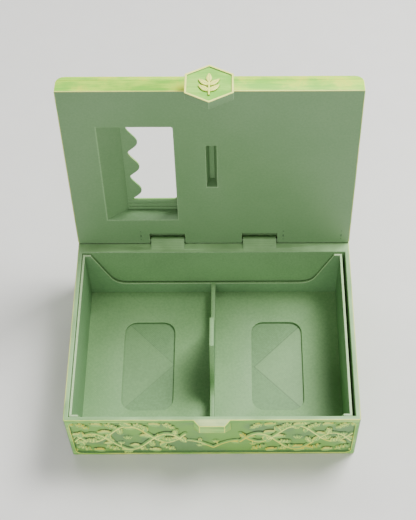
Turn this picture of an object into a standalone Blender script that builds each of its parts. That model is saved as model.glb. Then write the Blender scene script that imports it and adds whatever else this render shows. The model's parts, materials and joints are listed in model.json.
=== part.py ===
"""Card deck box with a hinged lid, a loose two-compartment card tray and a magnetic badge clasp.

Metres, +Z up, +X to the right, +Y to the back. The origin is the centre of the box's underside.
The lid is modelled shut, in coordinates measured from its hinge axis, and is then turned open.
"""

import math

import bmesh
import bpy
from mathutils import Vector

MM = 0.001

# Box
WIDTH = 148.0 * MM
DEPTH = 109.5 * MM
HEIGHT = 41.0 * MM
SIDE_WALL = 2.4 * MM
FRONT_WALL = 2.2 * MM
REAR_WALL = 9.1 * MM
BASE = 1.6 * MM
CORNER = 1.0 * MM
FRONT = -DEPTH / 2
REAR = DEPTH / 2

# Carved panels: a border with a sunk field inside it
FIELD_DEPTH = 1.4 * MM
BORDER = 2.3 * MM
BORDER_TOP = 2.9 * MM
BORDER_BOTTOM = 1.3 * MM
FIELD_CORNER = 3.6 * MM

# Hinge
BARREL = 1.8 * MM
AXIS_RISE = 1.5 * MM
AXIS_Y = REAR - BARREL
AXIS_Z = HEIGHT + AXIS_RISE
PIN_RADIUS = 0.85 * MM
BORE_RADIUS = 1.0 * MM
KNUCKLE_INNER = 16.0 * MM
KNUCKLE_OUTER = 34.1 * MM
KNUCKLE_FOOT = 5.45 * MM
KNUCKLE_ROOT = 3.0 * MM  # how far a knuckle reaches down into the rail
NOTCH_SIDE_GAP = 0.6 * MM
NOTCH_FRONT = 6.25 * MM
NOTCH_TOP = 2.3 * MM
BORE_END = 9.7 * MM
PIN_INNER_GAP = 0.5 * MM
PIN_OUTER_GAP = 0.3 * MM
GROOVE = 2.2 * MM
LEAN = 6.9  # degrees past upright, where the open lid rests on the groove's floor
OPEN_ANGLE = 90.0 + LEAN

# Lid, measured from the hinge axis
RIM_GAP = 0.3 * MM
LID_UNDER = RIM_GAP - AXIS_RISE
LID_BODY = 8.0 * MM
LID_THICKNESS = 10.8 * MM
COVER_GAP = 0.1 * MM
LID_EDGE_ROUND = 4.5 * MM
LID_FRONT = FRONT - AXIS_Y
WINDOW_LEFT = -56.5 * MM
WINDOW_RIGHT = -18.7 * MM
WINDOW_NEAR = 17.3 * MM
WINDOW_FAR = 84.4 * MM
WINDOW_SLOPE = 10.9 * MM
COVER_WINDOW_LEFT = -43.0 * MM
COVER_WINDOW_RIGHT = -19.0 * MM
COVER_WINDOW_INSET = 7.5 * MM
SLOT_HALF = 2.75 * MM
SLOT_FLOOR_HALF = 1.25 * MM
SLOT_DEPTH = 6.7 * MM
SLOT_NEAR = 42.3 * MM
SLOT_FAR = 71.7 * MM
COVER_BORDER = 4.5 * MM

# Clasp
BOSS_PROUD = 3.4 * MM
BOSS_HALF_ROOT = 9.2 * MM
BOSS_HALF_FACE = 6.3 * MM
BOSS_HEIGHT = 7.5 * MM
LID_BOSS_HEIGHT = 4.0 * MM
BOSS_ROOT = 1.6 * MM
BADGE_FLATS = 23.1 * MM
BADGE_THICKNESS = 4.6 * MM
BADGE_GAP = 0.3 * MM
BADGE_DROP = 3.9 * MM
BADGE_RIM = 1.0 * MM
BADGE_FIELD = 0.7 * MM
WINDOW_LEAVES = 3  # evenly spaced along the window's left side
WINDOW_LEAF_START = 0.35  # of the spacing, to a leaf's base
WINDOW_LEAF_END = 0.6  # of the spacing, to its tip
WINDOW_LEAF_REACH = 5.0 * MM
WINDOW_LEAF_HALF = 2.4 * MM
LEAF_THICKNESS = 1.0 * MM
LEAF_LENGTH = 6.8 * MM
LEAF_HALF = 1.4 * MM
LEAF_SPREAD = 50  # degrees between a side leaf and the stem
LEAF_PAIRS = (2.5 * MM, 6.5 * MM)  # up the stem
SPRIG_FOOT = 8.0 * MM
STEM_LENGTH = 9.5 * MM
STEM_HALF = 0.5 * MM
LEAF_GAP = 0.1 * MM
MAGNET_RADIUS = 3.0 * MM
MAGNET_LENGTH = 3.0 * MM
MAGNET_GAP = 0.2 * MM
SKIN = 0.8 * MM

# Card tray
TRAY_LEFT = -71.3 * MM
TRAY_RIGHT = 69.9 * MM
TRAY_FRONT = FRONT + 2.7 * MM
TRAY_REAR = FRONT + 99.8 * MM
TRAY_UNDER = BASE + 0.3 * MM
TRAY_FLOOR = 1.1 * MM
TRAY_TOP = HEIGHT - 1.0 * MM
TRAY_WALL = 1.2 * MM
DIVIDER = 2.3 * MM
LOW_EDGE = 12.1 * MM
SCOOP_TAB = 4.3 * MM
SCOOP_RUN = 11.6 * MM
SCOOP_ROUND = 9.0 * MM
DIVIDER_TAB_HALF = 8.4 * MM
PUSH_WIDTH = 28.0 * MM
PUSH_LENGTH = 54.5 * MM
PUSH_CORNER = 6.6 * MM

OUTSIDE = 2.0 * MM  # how far a cutter runs past what it cuts
CIRCLE = 28


def clear_scene():
    for thing in list(bpy.data.objects):
        bpy.data.objects.remove(thing, do_unlink=True)


def plastic(name, colour, roughness=0.62, metallic=0.0):
    made = bpy.data.materials.new(name)
    made.use_nodes = True
    shader = made.node_tree.nodes["Principled BSDF"]
    shader.inputs["Base Color"].default_value = (*colour, 1.0)
    shader.inputs["Roughness"].default_value = roughness
    shader.inputs["Metallic"].default_value = metallic
    return made


def arc(centre, radius, start, end, steps):
    """Points along an arc, with angles in degrees."""
    points = []
    for step in range(steps + 1):
        angle = math.radians(start + (end - start) * step / steps)
        points.append((centre[0] + radius * math.cos(angle), centre[1] + radius * math.sin(angle)))
    return points


def rounded_rectangle(low, high, radius, steps=5):
    left, bottom = low[0] + radius, low[1] + radius
    right, top = high[0] - radius, high[1] - radius
    outline = arc((right, top), radius, 0, 90, steps)
    outline += arc((left, top), radius, 90, 180, steps)
    outline += arc((left, bottom), radius, 180, 270, steps)
    outline += arc((right, bottom), radius, 270, 360, steps)
    return outline


def hexagon(centre, flats):
    """A hexagon with two upright flat sides and a point at the top and the bottom."""
    point = flats / math.sqrt(3.0)
    return arc(centre, point, 90, 90 + 300, 5)


def prism(name, outline, along, low, high, parent=None):
    """A solid of one outline, drawn in the two axes across `along` in X, Y, Z order."""
    across = [axis for axis in "XYZ" if axis != along]
    mesh = bpy.data.meshes.new(name)
    shape = bmesh.new()
    corners = []
    for u, v in outline:
        place = {across[0]: u, across[1]: v, along: low}
        corners.append(shape.verts.new((place["X"], place["Y"], place["Z"])))
    face = shape.faces.new(corners)
    grown = bmesh.ops.extrude_face_region(shape, geom=[face])
    moved = [part for part in grown["geom"] if isinstance(part, bmesh.types.BMVert)]
    step = {axis: 0.0 for axis in "XYZ"}
    step[along] = high - low
    bmesh.ops.translate(shape, verts=moved, vec=(step["X"], step["Y"], step["Z"]))
    bmesh.ops.recalc_face_normals(shape, faces=shape.faces)
    shape.to_mesh(mesh)
    shape.free()
    made = bpy.data.objects.new(name, mesh)
    bpy.context.scene.collection.objects.link(made)
    made.parent = parent
    return made


def block(name, low, high, parent=None):
    outline = [(low[0], low[1]), (high[0], low[1]), (high[0], high[1]), (low[0], high[1])]
    return prism(name, outline, "Z", low[2], high[2], parent)


def tapered_pocket(name, near_low, near_high, far_low, far_high, near_z, far_z, parent=None):
    """A cutter whose opening and floor are two different rectangles."""
    shape = bmesh.new()
    rings = []
    for low, high, z in ((near_low, near_high, near_z), (far_low, far_high, far_z)):
        corners = ((low[0], low[1]), (high[0], low[1]), (high[0], high[1]), (low[0], high[1]))
        rings.append([shape.verts.new((x, y, z)) for x, y in corners])
    shape.faces.new(rings[0])
    shape.faces.new(rings[1])
    for side in range(4):
        after = (side + 1) % 4
        shape.faces.new((rings[0][side], rings[0][after], rings[1][after], rings[1][side]))
    bmesh.ops.recalc_face_normals(shape, faces=shape.faces)
    mesh = bpy.data.meshes.new(name)
    shape.to_mesh(mesh)
    shape.free()
    made = bpy.data.objects.new(name, mesh)
    bpy.context.scene.collection.objects.link(made)
    made.parent = parent
    return made


def combine(target, tool, operation):
    """Cuts the tool from the target, or unites it with the target, and turns the tool into a guide."""
    step = target.modifiers.new(tool.name, "BOOLEAN")
    step.object = tool
    step.operation = operation
    step.solver = "EXACT"
    tool.hide_render = True
    tool.display_type = "WIRE"


def cut(target, *tools):
    for tool in tools:
        combine(target, tool, "DIFFERENCE")


def unite(target, *tools):
    for tool in tools:
        combine(target, tool, "UNION")


def finish(piece, material):
    piece.data.materials.append(material)
    piece.data.shade_smooth()
    piece.data.set_sharp_from_angle(angle=math.radians(35))


def box_fields(shell):
    """The four sunk fields of the carved panels."""
    low_z, high_z = BORDER_BOTTOM, HEIGHT - BORDER_TOP
    side = WIDTH / 2
    wide = rounded_rectangle((-side + BORDER, low_z), (side - BORDER, high_z), FIELD_CORNER)
    deep = rounded_rectangle((FRONT + BORDER, low_z), (REAR - BORDER, high_z), FIELD_CORNER)
    cut(
        shell,
        prism("front_field", wide, "Y", FRONT - OUTSIDE, FRONT + FIELD_DEPTH),
        prism("rear_field", wide, "Y", REAR - FIELD_DEPTH, REAR + OUTSIDE),
        prism("left_field", deep, "X", -side - OUTSIDE, -side + FIELD_DEPTH),
        prism("right_field", deep, "X", side - FIELD_DEPTH, side + OUTSIDE),
    )


def hinge_groove(shell):
    """The trough in the rear rail that the lid's rounded edge turns in. Its floor leans with the open lid."""
    lip = math.sqrt(GROOVE**2 - AXIS_RISE**2)
    lean = math.radians(LEAN)
    far = BARREL + OUTSIDE
    start = math.degrees(math.atan2(-AXIS_RISE, -lip)) + 360
    outline = arc((AXIS_Y, AXIS_Z), GROOVE, start, 270 - LEAN, 8)
    outline.append((AXIS_Y + far, AXIS_Z - GROOVE / math.cos(lean) - far * math.tan(lean)))
    outline.append((AXIS_Y + far, AXIS_Z + OUTSIDE))
    outline.append((AXIS_Y - lip, AXIS_Z + OUTSIDE))
    cut(shell, prism("hinge_groove", outline, "X", -WIDTH / 2 - OUTSIDE, WIDTH / 2 + OUTSIDE))


def knuckle(name, low_x, high_x):
    """A barrel about the axis, with a ramp down to its foot on the rail."""
    centre = (AXIS_Y, AXIS_Z)
    foot = (AXIS_Y - KNUCKLE_FOOT, HEIGHT)
    reach = math.hypot(KNUCKLE_FOOT, AXIS_RISE)
    toward_foot = math.degrees(math.atan2(-AXIS_RISE, -KNUCKLE_FOOT)) + 360
    tangent = toward_foot - math.degrees(math.acos(BARREL / reach))
    outline = arc(centre, BARREL, 0, tangent, 12)
    outline.append(foot)
    outline.append((foot[0], HEIGHT - KNUCKLE_ROOT))
    outline.append((AXIS_Y + BARREL, HEIGHT - KNUCKLE_ROOT))
    return prism(name, outline, "X", low_x, high_x)


def boss_outline(face, root):
    """The plan of a boss: a trapezoid that narrows away from the wall."""
    half = [(BOSS_HALF_ROOT, root), (BOSS_HALF_ROOT, face + BOSS_PROUD), (BOSS_HALF_FACE, face)]
    return half + [(-x, y) for x, y in reversed(half)]


def boss(target, name, wall, parting, away, height, parent=None):
    """A clasp boss on a front wall, with a 45 degree support on the side away from the parting line."""
    far = parting + away * (height + BOSS_PROUD)
    low, high = min(parting, far), max(parting, far)
    made = prism(name, boss_outline(wall - BOSS_PROUD, wall + BOSS_ROOT), "Z", low, high, parent)
    turn = parting + away * height
    support = [
        (wall - BOSS_PROUD - OUTSIDE, turn - away * OUTSIDE),
        (wall + OUTSIDE, far + away * OUTSIDE),
        (wall - BOSS_PROUD - OUTSIDE, far + away * OUTSIDE),
    ]
    cut(made, prism(name + "_support", support, "X", -BOSS_HALF_ROOT * 2, BOSS_HALF_ROOT * 2, parent))
    unite(target, made)


def make_box_shell(material):
    side = WIDTH / 2
    outer = rounded_rectangle((-side, FRONT), (side, REAR), CORNER, 4)
    shell = prism("box_shell", outer, "Z", 0.0, HEIGHT)
    inner_low = (-side + SIDE_WALL, FRONT + FRONT_WALL, BASE)
    inner_high = (side - SIDE_WALL, REAR - REAR_WALL, HEIGHT + OUTSIDE)
    cut(shell, block("box_inside", inner_low, inner_high))
    box_fields(shell)
    hinge_groove(shell)
    unite(
        shell,
        knuckle("left_knuckle", -KNUCKLE_OUTER, -KNUCKLE_INNER),
        knuckle("right_knuckle", KNUCKLE_INNER, KNUCKLE_OUTER),
    )
    boss(shell, "box_boss", FRONT, HEIGHT, -1, BOSS_HEIGHT)
    bore = arc((AXIS_Y, AXIS_Z), BORE_RADIUS, 0, 360 - 360 / CIRCLE, CIRCLE - 1)
    cut(shell, prism("knuckle_bore", bore, "X", -side, side))
    seat = arc((0.0, HEIGHT - BADGE_DROP), MAGNET_RADIUS + MAGNET_GAP, 0, 360 - 360 / CIRCLE, CIRCLE - 1)
    seat_floor = FRONT - BOSS_PROUD + SKIN
    cut(shell, prism("box_magnet_seat", seat, "Y", seat_floor, FRONT + FRONT_WALL + OUTSIDE))
    finish(shell, material)


def make_box_magnet(material):
    outline = arc((0.0, HEIGHT - BADGE_DROP), MAGNET_RADIUS, 0, 360 - 360 / CIRCLE, CIRCLE - 1)
    low = FRONT - BOSS_PROUD + SKIN + MAGNET_GAP
    magnet = prism("box_magnet", outline, "Y", low, low + MAGNET_LENGTH)
    finish(magnet, material)


def scoop(low, high, bottom_run):
    """The outline of a scoop between two tabs: down one slope, round a fillet, along and up again."""
    top = TRAY_TOP + OUTSIDE
    drop = TRAY_TOP - LOW_EDGE
    slope = math.atan2(drop, bottom_run)
    tangent = SCOOP_ROUND * math.tan(slope / 2)
    past = OUTSIDE / math.tan(slope)
    left = arc(
        (low + bottom_run + tangent, LOW_EDGE + SCOOP_ROUND),
        SCOOP_ROUND,
        270 - math.degrees(slope),
        270,
        6,
    )
    right = [(low + high - u, v) for u, v in reversed(left)]
    return [(low - past, top)] + left + right + [(high + past, top)]


def half_scoop(tab, end, bottom_run):
    """A scoop that starts at a tab and runs out past the end of a wall."""
    away = 1 if end > tab else -1
    far = end + away * OUTSIDE
    whole = scoop(0.0, 4 * abs(far - tab), bottom_run)
    kept = [(tab + away * u, v) for u, v in whole[: len(whole) // 2]]
    return kept + [(far, LOW_EDGE), (far, TRAY_TOP + OUTSIDE)]


def make_card_tray(material):
    tray = block("card_tray", (TRAY_LEFT, TRAY_FRONT, TRAY_UNDER), (TRAY_RIGHT, TRAY_REAR, TRAY_TOP))
    middle_x = (TRAY_LEFT + TRAY_RIGHT) / 2
    middle_y = (TRAY_FRONT + TRAY_REAR) / 2
    floor = TRAY_UNDER + TRAY_FLOOR
    top = TRAY_TOP + OUTSIDE
    near, far = TRAY_FRONT + TRAY_WALL, TRAY_REAR - TRAY_WALL
    spans = (
        ("left", TRAY_LEFT + TRAY_WALL, middle_x - DIVIDER / 2),
        ("right", middle_x + DIVIDER / 2, TRAY_RIGHT - TRAY_WALL),
    )
    for side, low_x, high_x in spans:
        cut(tray, block(side + "_compartment", (low_x, near, floor), (high_x, far, top)))
    end_scoop = scoop(TRAY_LEFT + SCOOP_TAB, TRAY_RIGHT - SCOOP_TAB, SCOOP_RUN)
    cut(
        tray,
        prism("front_scoop", end_scoop, "Y", TRAY_FRONT - OUTSIDE, near),
        prism("rear_scoop", end_scoop, "Y", far, TRAY_REAR + OUTSIDE),
    )
    inside_left, inside_right = middle_x - DIVIDER, middle_x + DIVIDER
    front_half = half_scoop(middle_y - DIVIDER_TAB_HALF, TRAY_FRONT, SCOOP_RUN)
    rear_half = half_scoop(middle_y + DIVIDER_TAB_HALF, TRAY_REAR, SCOOP_RUN)
    cut(
        tray,
        prism("divider_front_scoop", front_half, "X", inside_left, inside_right),
        prism("divider_rear_scoop", rear_half, "X", inside_left, inside_right),
    )
    for side, low_x, high_x in spans:
        centre = (low_x + high_x) / 2
        low = (centre - PUSH_WIDTH / 2, middle_y - PUSH_LENGTH / 2)
        high = (centre + PUSH_WIDTH / 2, middle_y + PUSH_LENGTH / 2)
        window = rounded_rectangle(low, high, PUSH_CORNER)
        cut(tray, prism(side + "_push_window", window, "Z", TRAY_UNDER - OUTSIDE, floor + OUTSIDE))
    finish(tray, material)


def lid_section(low, high, steps):
    """The lid's cross-section between two heights: upright sides that round in to the outer face."""
    shoulder = LID_UNDER + LID_THICKNESS - LID_EDGE_ROUND
    side = WIDTH / 2
    right = []
    for step in range(steps + 1):
        z = low + (high - low) * step / steps
        rise = max(0.0, z - shoulder)
        right.append((side - LID_EDGE_ROUND + math.sqrt(max(0.0, LID_EDGE_ROUND**2 - rise**2)), z))
    if low < shoulder:
        right = [(side, low)] + [point for point in right if point[1] > shoulder]
    return right + [(-x, z) for x, z in reversed(right)]


def make_lid_body(hinge, material):
    top = LID_UNDER + LID_BODY
    body = prism("lid_body", lid_section(LID_UNDER, top, 20), "Y", LID_FRONT, BARREL, hinge)
    touch = math.sqrt(BARREL**2 - LID_UNDER**2)
    start = math.degrees(math.atan2(LID_UNDER, touch))
    corner = arc((0.0, 0.0), BARREL, start, 0, 6)
    corner += [(BARREL + OUTSIDE, 0.0), (BARREL + OUTSIDE, LID_UNDER - OUTSIDE), (touch, LID_UNDER - OUTSIDE)]
    side = WIDTH / 2
    cut(body, prism("lid_rear_round", corner, "X", -side - OUTSIDE, side + OUTSIDE, hinge))
    for name, sign in (("left", -1), ("right", 1)):
        ends = sorted((sign * (KNUCKLE_INNER - NOTCH_SIDE_GAP), sign * (KNUCKLE_OUTER + NOTCH_SIDE_GAP)))
        low = (ends[0], -NOTCH_FRONT, LID_UNDER - OUTSIDE)
        high = (ends[1], BARREL + OUTSIDE, NOTCH_TOP)
        bore_ends = sorted((sign * BORE_END, sign * (side + OUTSIDE)))
        bore = arc((0.0, 0.0), BORE_RADIUS, 0, 360 - 360 / CIRCLE, CIRCLE - 1)
        cut(
            body,
            block(name + "_notch", low, high, hinge),
            prism(name + "_bore", bore, "X", *bore_ends, hinge),
        )
    slope = WINDOW_SLOPE / LID_BODY * OUTSIDE
    window = tapered_pocket(
        "lid_window",
        (WINDOW_LEFT - slope, -WINDOW_FAR),
        (WINDOW_RIGHT, -WINDOW_NEAR),
        (WINDOW_LEFT + WINDOW_SLOPE + slope, -WINDOW_FAR),
        (WINDOW_RIGHT, -WINDOW_NEAR),
        LID_UNDER - OUTSIDE,
        top + OUTSIDE,
        hinge,
    )
    flare = (SLOT_HALF - SLOT_FLOOR_HALF) / SLOT_DEPTH * OUTSIDE
    slot = tapered_pocket(
        "lid_slot",
        (-SLOT_HALF - flare, -SLOT_FAR),
        (SLOT_HALF + flare, -SLOT_NEAR),
        (-SLOT_FLOOR_HALF, -SLOT_FAR),
        (SLOT_FLOOR_HALF, -SLOT_NEAR),
        LID_UNDER - OUTSIDE,
        LID_UNDER + SLOT_DEPTH,
        hinge,
    )
    cut(body, window, slot)
    boss(body, "lid_boss", LID_FRONT, LID_UNDER, 1, LID_BOSS_HEIGHT, hinge)
    finish(body, material)


def leaf_outline(base, tip, half_width, steps=6):
    """A pointed leaf between two points, widest below its middle."""
    base, tip = Vector(base), Vector(tip)
    along = tip - base
    across = Vector((-along.y, along.x)).normalized()
    side = []
    for step in range(1, steps):
        t = step / steps
        side.append((t, half_width * math.sin(math.pi * t**0.8)))
    right = [base + along * t + across * w for t, w in side]
    left = [base + along * t - across * w for t, w in reversed(side)]
    return [tuple(point) for point in [base] + right + [tip] + left]


def window_leaves(near, far):
    """The y of each window leaf's base, its tip and its half width."""
    spacing = (near - far) / WINDOW_LEAVES
    leaves = []
    for number in range(WINDOW_LEAVES):
        base_y = far + spacing * (number + WINDOW_LEAF_START)
        tip = (COVER_WINDOW_LEFT + WINDOW_LEAF_REACH, far + spacing * (number + WINDOW_LEAF_END))
        leaves.append((base_y, tip, WINDOW_LEAF_HALF))
    return leaves


def make_lid_cover(hinge, material):
    """The carved outer plate. Three leaves of its carving reach into its window."""
    low = LID_UNDER + LID_BODY + COVER_GAP
    high = LID_UNDER + LID_THICKNESS
    cover = prism("lid_cover", lid_section(low, high, 8), "Y", LID_FRONT, BARREL, hinge)
    near, far = -WINDOW_NEAR - COVER_WINDOW_INSET, -WINDOW_FAR + COVER_WINDOW_INSET
    field_low = (-WIDTH / 2 + LID_EDGE_ROUND + BORDER / 2, LID_FRONT + COVER_BORDER)
    field_high = (WIDTH / 2 - LID_EDGE_ROUND - BORDER / 2, BARREL - COVER_BORDER)
    field = rounded_rectangle(field_low, field_high, FIELD_CORNER)
    opening = rounded_rectangle((COVER_WINDOW_LEFT, far), (COVER_WINDOW_RIGHT, near), BORDER, 3)
    cut(
        cover,
        prism("cover_field", field, "Z", high - FIELD_DEPTH, high + OUTSIDE, hinge),
        prism("cover_window", opening, "Z", low - OUTSIDE, high + OUTSIDE, hinge),
    )
    stem = COVER_WINDOW_LEFT - 1.0 * MM
    for number, (base_y, tip, half_width) in enumerate(window_leaves(near, far)):
        outline = leaf_outline((stem, base_y), tip, half_width)
        unite(cover, prism(f"window_sprig_{number + 1}", outline, "Z", low, high - FIELD_DEPTH, hinge))
    finish(cover, material)


def make_badge_sprig(middle, back, hinge, material):
    """The badge's ornament: a plain straight sprig with two pairs of leaves and one at its tip."""
    front = back - LEAF_THICKNESS
    foot = middle - SPRIG_FOOT
    top = foot + STEM_LENGTH
    stem = [(-STEM_HALF, foot), (STEM_HALF, foot), (STEM_HALF, top), (-STEM_HALF, top)]
    sprig = prism("badge_leaf", stem, "Y", front, back, hinge)
    leaves = [(top - 2 * STEM_HALF, 0)]
    leaves += [(foot + height, angle) for height in LEAF_PAIRS for angle in (-LEAF_SPREAD, LEAF_SPREAD)]
    for number, (height, angle) in enumerate(leaves):
        turn = math.radians(angle)
        tip = (LEAF_LENGTH * math.sin(turn), height + LEAF_LENGTH * math.cos(turn))
        blade = leaf_outline((0.0, height), tip, LEAF_HALF, 10)
        unite(sprig, prism(f"sprig_leaf_{number + 1}", blade, "Y", front, back, hinge))
    finish(sprig, material)


def make_badge(hinge, badge_material, leaf_material, magnet_material):
    back = LID_FRONT - BOSS_PROUD - BADGE_GAP
    face = back - BADGE_THICKNESS
    centre = (0.0, LID_UNDER - BADGE_DROP)
    badge = prism("clasp_badge", hexagon(centre, BADGE_FLATS), "Y", face, back, hinge)
    inner = hexagon(centre, BADGE_FLATS - 2 * BADGE_RIM)
    seat = arc(centre, MAGNET_RADIUS + MAGNET_GAP, 0, 360 - 360 / CIRCLE, CIRCLE - 1)
    cut(
        badge,
        prism("badge_field", inner, "Y", face - OUTSIDE, face + BADGE_FIELD, hinge),
        prism("badge_magnet_seat", seat, "Y", back - MAGNET_LENGTH - MAGNET_GAP, back + OUTSIDE, hinge),
    )
    finish(badge, badge_material)
    outline = arc(centre, MAGNET_RADIUS, 0, 360 - 360 / CIRCLE, CIRCLE - 1)
    magnet = prism("badge_magnet", outline, "Y", back - MAGNET_LENGTH, back, hinge)
    finish(magnet, magnet_material)
    leaf_back = face + BADGE_FIELD - LEAF_GAP
    make_badge_sprig(centre[1], leaf_back, hinge, leaf_material)


def make_pin(name, sign, hinge, material):
    ends = sorted((sign * (BORE_END + PIN_INNER_GAP), sign * (WIDTH / 2 - PIN_OUTER_GAP)))
    outline = arc((0.0, 0.0), PIN_RADIUS, 0, 360 - 360 / CIRCLE, CIRCLE - 1)
    finish(prism(name, outline, "X", *ends, hinge), material)


def make_hinge_axis():
    axis = bpy.data.objects.new("lid_hinge_axis", None)
    bpy.context.scene.collection.objects.link(axis)
    axis.location = (0.0, AXIS_Y, AXIS_Z)
    axis.rotation_euler = (-math.radians(OPEN_ANGLE), 0.0, 0.0)
    return axis


def main():
    clear_scene()
    hinge = make_hinge_axis()
    printed = plastic("sage_print", (0.26, 0.36, 0.27))
    carved = plastic("sage_print_carved", (0.33, 0.43, 0.29))
    ivory = plastic("ivory_print", (0.62, 0.62, 0.42))
    filament = plastic("filament_pin", (0.24, 0.34, 0.26), 0.45)
    magnet = plastic("nickel_magnet", (0.6, 0.6, 0.6), 0.25, 1.0)
    make_box_shell(carved)
    make_box_magnet(magnet)
    make_card_tray(printed)
    make_lid_body(hinge, printed)
    make_lid_cover(hinge, carved)
    make_badge(hinge, carved, ivory, magnet)
    make_pin("hinge_pin_left", -1, hinge, filament)
    make_pin("hinge_pin_right", 1, hinge, filament)


main()
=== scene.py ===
"""Printed card deck box: sage-green layered plastic, dry-brushed on its carved outside, with the lid open.

Metres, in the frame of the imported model. Pieces of the lid are made shut, measured from the hinge axis,
and are then turned open.
"""

import json
import math
import random

import bmesh
import bpy
import numpy as np
from mathutils import Matrix, Vector


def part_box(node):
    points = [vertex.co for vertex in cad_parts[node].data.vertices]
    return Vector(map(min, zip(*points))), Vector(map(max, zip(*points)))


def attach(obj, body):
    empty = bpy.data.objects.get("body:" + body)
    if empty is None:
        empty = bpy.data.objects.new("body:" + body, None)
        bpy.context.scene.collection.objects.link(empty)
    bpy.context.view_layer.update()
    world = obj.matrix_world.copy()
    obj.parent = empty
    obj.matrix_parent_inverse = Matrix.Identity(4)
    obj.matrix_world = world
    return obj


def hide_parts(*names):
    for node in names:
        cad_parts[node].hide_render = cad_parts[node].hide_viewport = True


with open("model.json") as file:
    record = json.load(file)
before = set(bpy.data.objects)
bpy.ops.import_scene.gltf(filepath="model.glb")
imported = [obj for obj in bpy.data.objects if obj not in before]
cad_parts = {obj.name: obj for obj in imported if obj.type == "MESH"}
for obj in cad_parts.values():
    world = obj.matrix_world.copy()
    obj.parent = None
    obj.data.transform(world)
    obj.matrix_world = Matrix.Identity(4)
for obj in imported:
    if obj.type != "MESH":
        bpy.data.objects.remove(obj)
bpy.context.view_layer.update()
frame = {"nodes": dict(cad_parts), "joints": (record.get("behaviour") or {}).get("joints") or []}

MM = 0.001
NODES = frame["nodes"]
LID_HINGE = next(joint for joint in frame["joints"] if joint["name"] == "lid_hinge")
LID_OPEN = Matrix.Translation(Vector(LID_HINGE["pos_m"])) @ Matrix.Rotation(
    -math.radians(LID_HINGE["range_deg"][1]), 4, "X"
)
LID_SHUT = LID_OPEN.inverted()

SHELL_LOW, SHELL_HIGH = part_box("box_shell")
WIDTH = SHELL_HIGH.x - SHELL_LOW.x
SIDE = WIDTH / 2
RIM = 41.0 * MM
FRONT = -54.75 * MM
REAR = 54.75 * MM
FIELD_DEPTH = 1.4 * MM
CARVING_RISE = 1.55 * MM
FIELD_CORNER = 3.6 * MM
LID_UNDER = -1.2 * MM
LID_FACE = 9.6 * MM
LID_SEAM = 6.9 * MM
LID_JOINT = (LID_SEAM - 0.2 * MM, LID_SEAM + 0.1 * MM)
LID_FRONT = FRONT - LID_HINGE["pos_m"][1]
LID_REAR = 1.8 * MM
LID_ROUND = 4.5 * MM


# ---------------------------------------------------------------- colour and nodes


def linear(code):
    """An sRGB hex colour as linear red, green, blue and alpha."""
    parts = [int(code[place : place + 2], 16) / 255 for place in (1, 3, 5)]
    return [part / 12.92 if part <= 0.04045 else ((part + 0.055) / 1.055) ** 2.4 for part in parts] + [1.0]


def add(tree, kind, inputs, out=0, **settings):
    """Adds one shader node with its settings, and fills its inputs with numbers, hex colours or sockets."""
    node = tree.nodes.new("ShaderNode" + kind)
    for name, value in settings.items():
        setattr(node, name, value)
    for slot, value in inputs.items():
        if isinstance(value, bpy.types.NodeSocket):
            tree.links.new(value, node.inputs[slot])
        else:
            node.inputs[slot].default_value = linear(value) if isinstance(value, str) else value
    return node.outputs if out is None else node.outputs[out]


def plain(name, roughness, ior):
    made = bpy.data.materials.new(name)
    made.use_nodes = True
    shader = made.node_tree.nodes["Principled BSDF"]
    shader.inputs["Roughness"].default_value = roughness
    shader.inputs["IOR"].default_value = ior
    return made, made.node_tree, shader


def coat(tree, shader, colour, roughness, height, depth, strength=0.6):
    """Wires a finish's colour, its roughness and its surface relief, whose depth is in millimetres."""
    bump = add(tree, "Bump", {"Strength": strength, "Distance": depth * MM, "Height": height})
    tree.links.new(colour, shader.inputs["Base Color"])
    tree.links.new(roughness, shader.inputs["Roughness"])
    tree.links.new(bump, shader.inputs["Normal"])


# ---------------------------------------------------------------- finishes

LAYER = 0.55 * MM  # the real layers are 0.2 mm, drawn coarser so that they show
BEAD = 0.9 * MM  # the real extrusion lines are 0.42 mm wide, drawn coarser so that they show


def nozzle_lines(tree, direction):
    """Where a point is, and the height of the printed lines: layers up the walls, beads across the flats."""
    place = add(tree, "TexCoord", {}, None)
    spot, facing = place["Object"], place["Normal"]
    parts = add(tree, "SeparateXYZ", {0: spot}, None)
    upward = add(tree, "SeparateXYZ", {0: facing}, 2)
    wander = add(tree, "TexNoise", {"Vector": spot, "Scale": 90.0, "Detail": 2.0})
    shake = add(tree, "Math", {0: wander, 1: 1.6}, operation="MULTIPLY")
    layers = add(tree, "Math", {0: parts[2], 1: math.tau / LAYER, 2: shake}, operation="MULTIPLY_ADD")
    layers = add(tree, "Math", {0: layers}, operation="SINE")
    heading = (math.cos(math.radians(direction)), math.sin(math.radians(direction)), 0.0)
    across = add(tree, "VectorMath", {0: spot, 1: heading}, "Value", operation="DOT_PRODUCT")
    beads = add(tree, "Math", {0: across, 1: math.tau / BEAD, 2: shake}, operation="MULTIPLY_ADD")
    beads = add(tree, "Math", {0: beads}, operation="SINE")
    upward = add(tree, "Math", {0: upward}, operation="ABSOLUTE")
    flat = add(tree, "MapRange", {0: upward, 1: 0.55, 2: 0.8}, interpolation_type="SMOOTHSTEP")
    lines = add(tree, "Mix", {0: flat, 2: layers, 3: beads})
    grain = add(tree, "TexNoise", {"Vector": spot, "Scale": 1500.0, "Detail": 2.0})
    height = add(tree, "Math", {0: grain, 1: 0.9, 2: lines}, operation="MULTIPLY_ADD")
    return spot, parts, height


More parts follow.
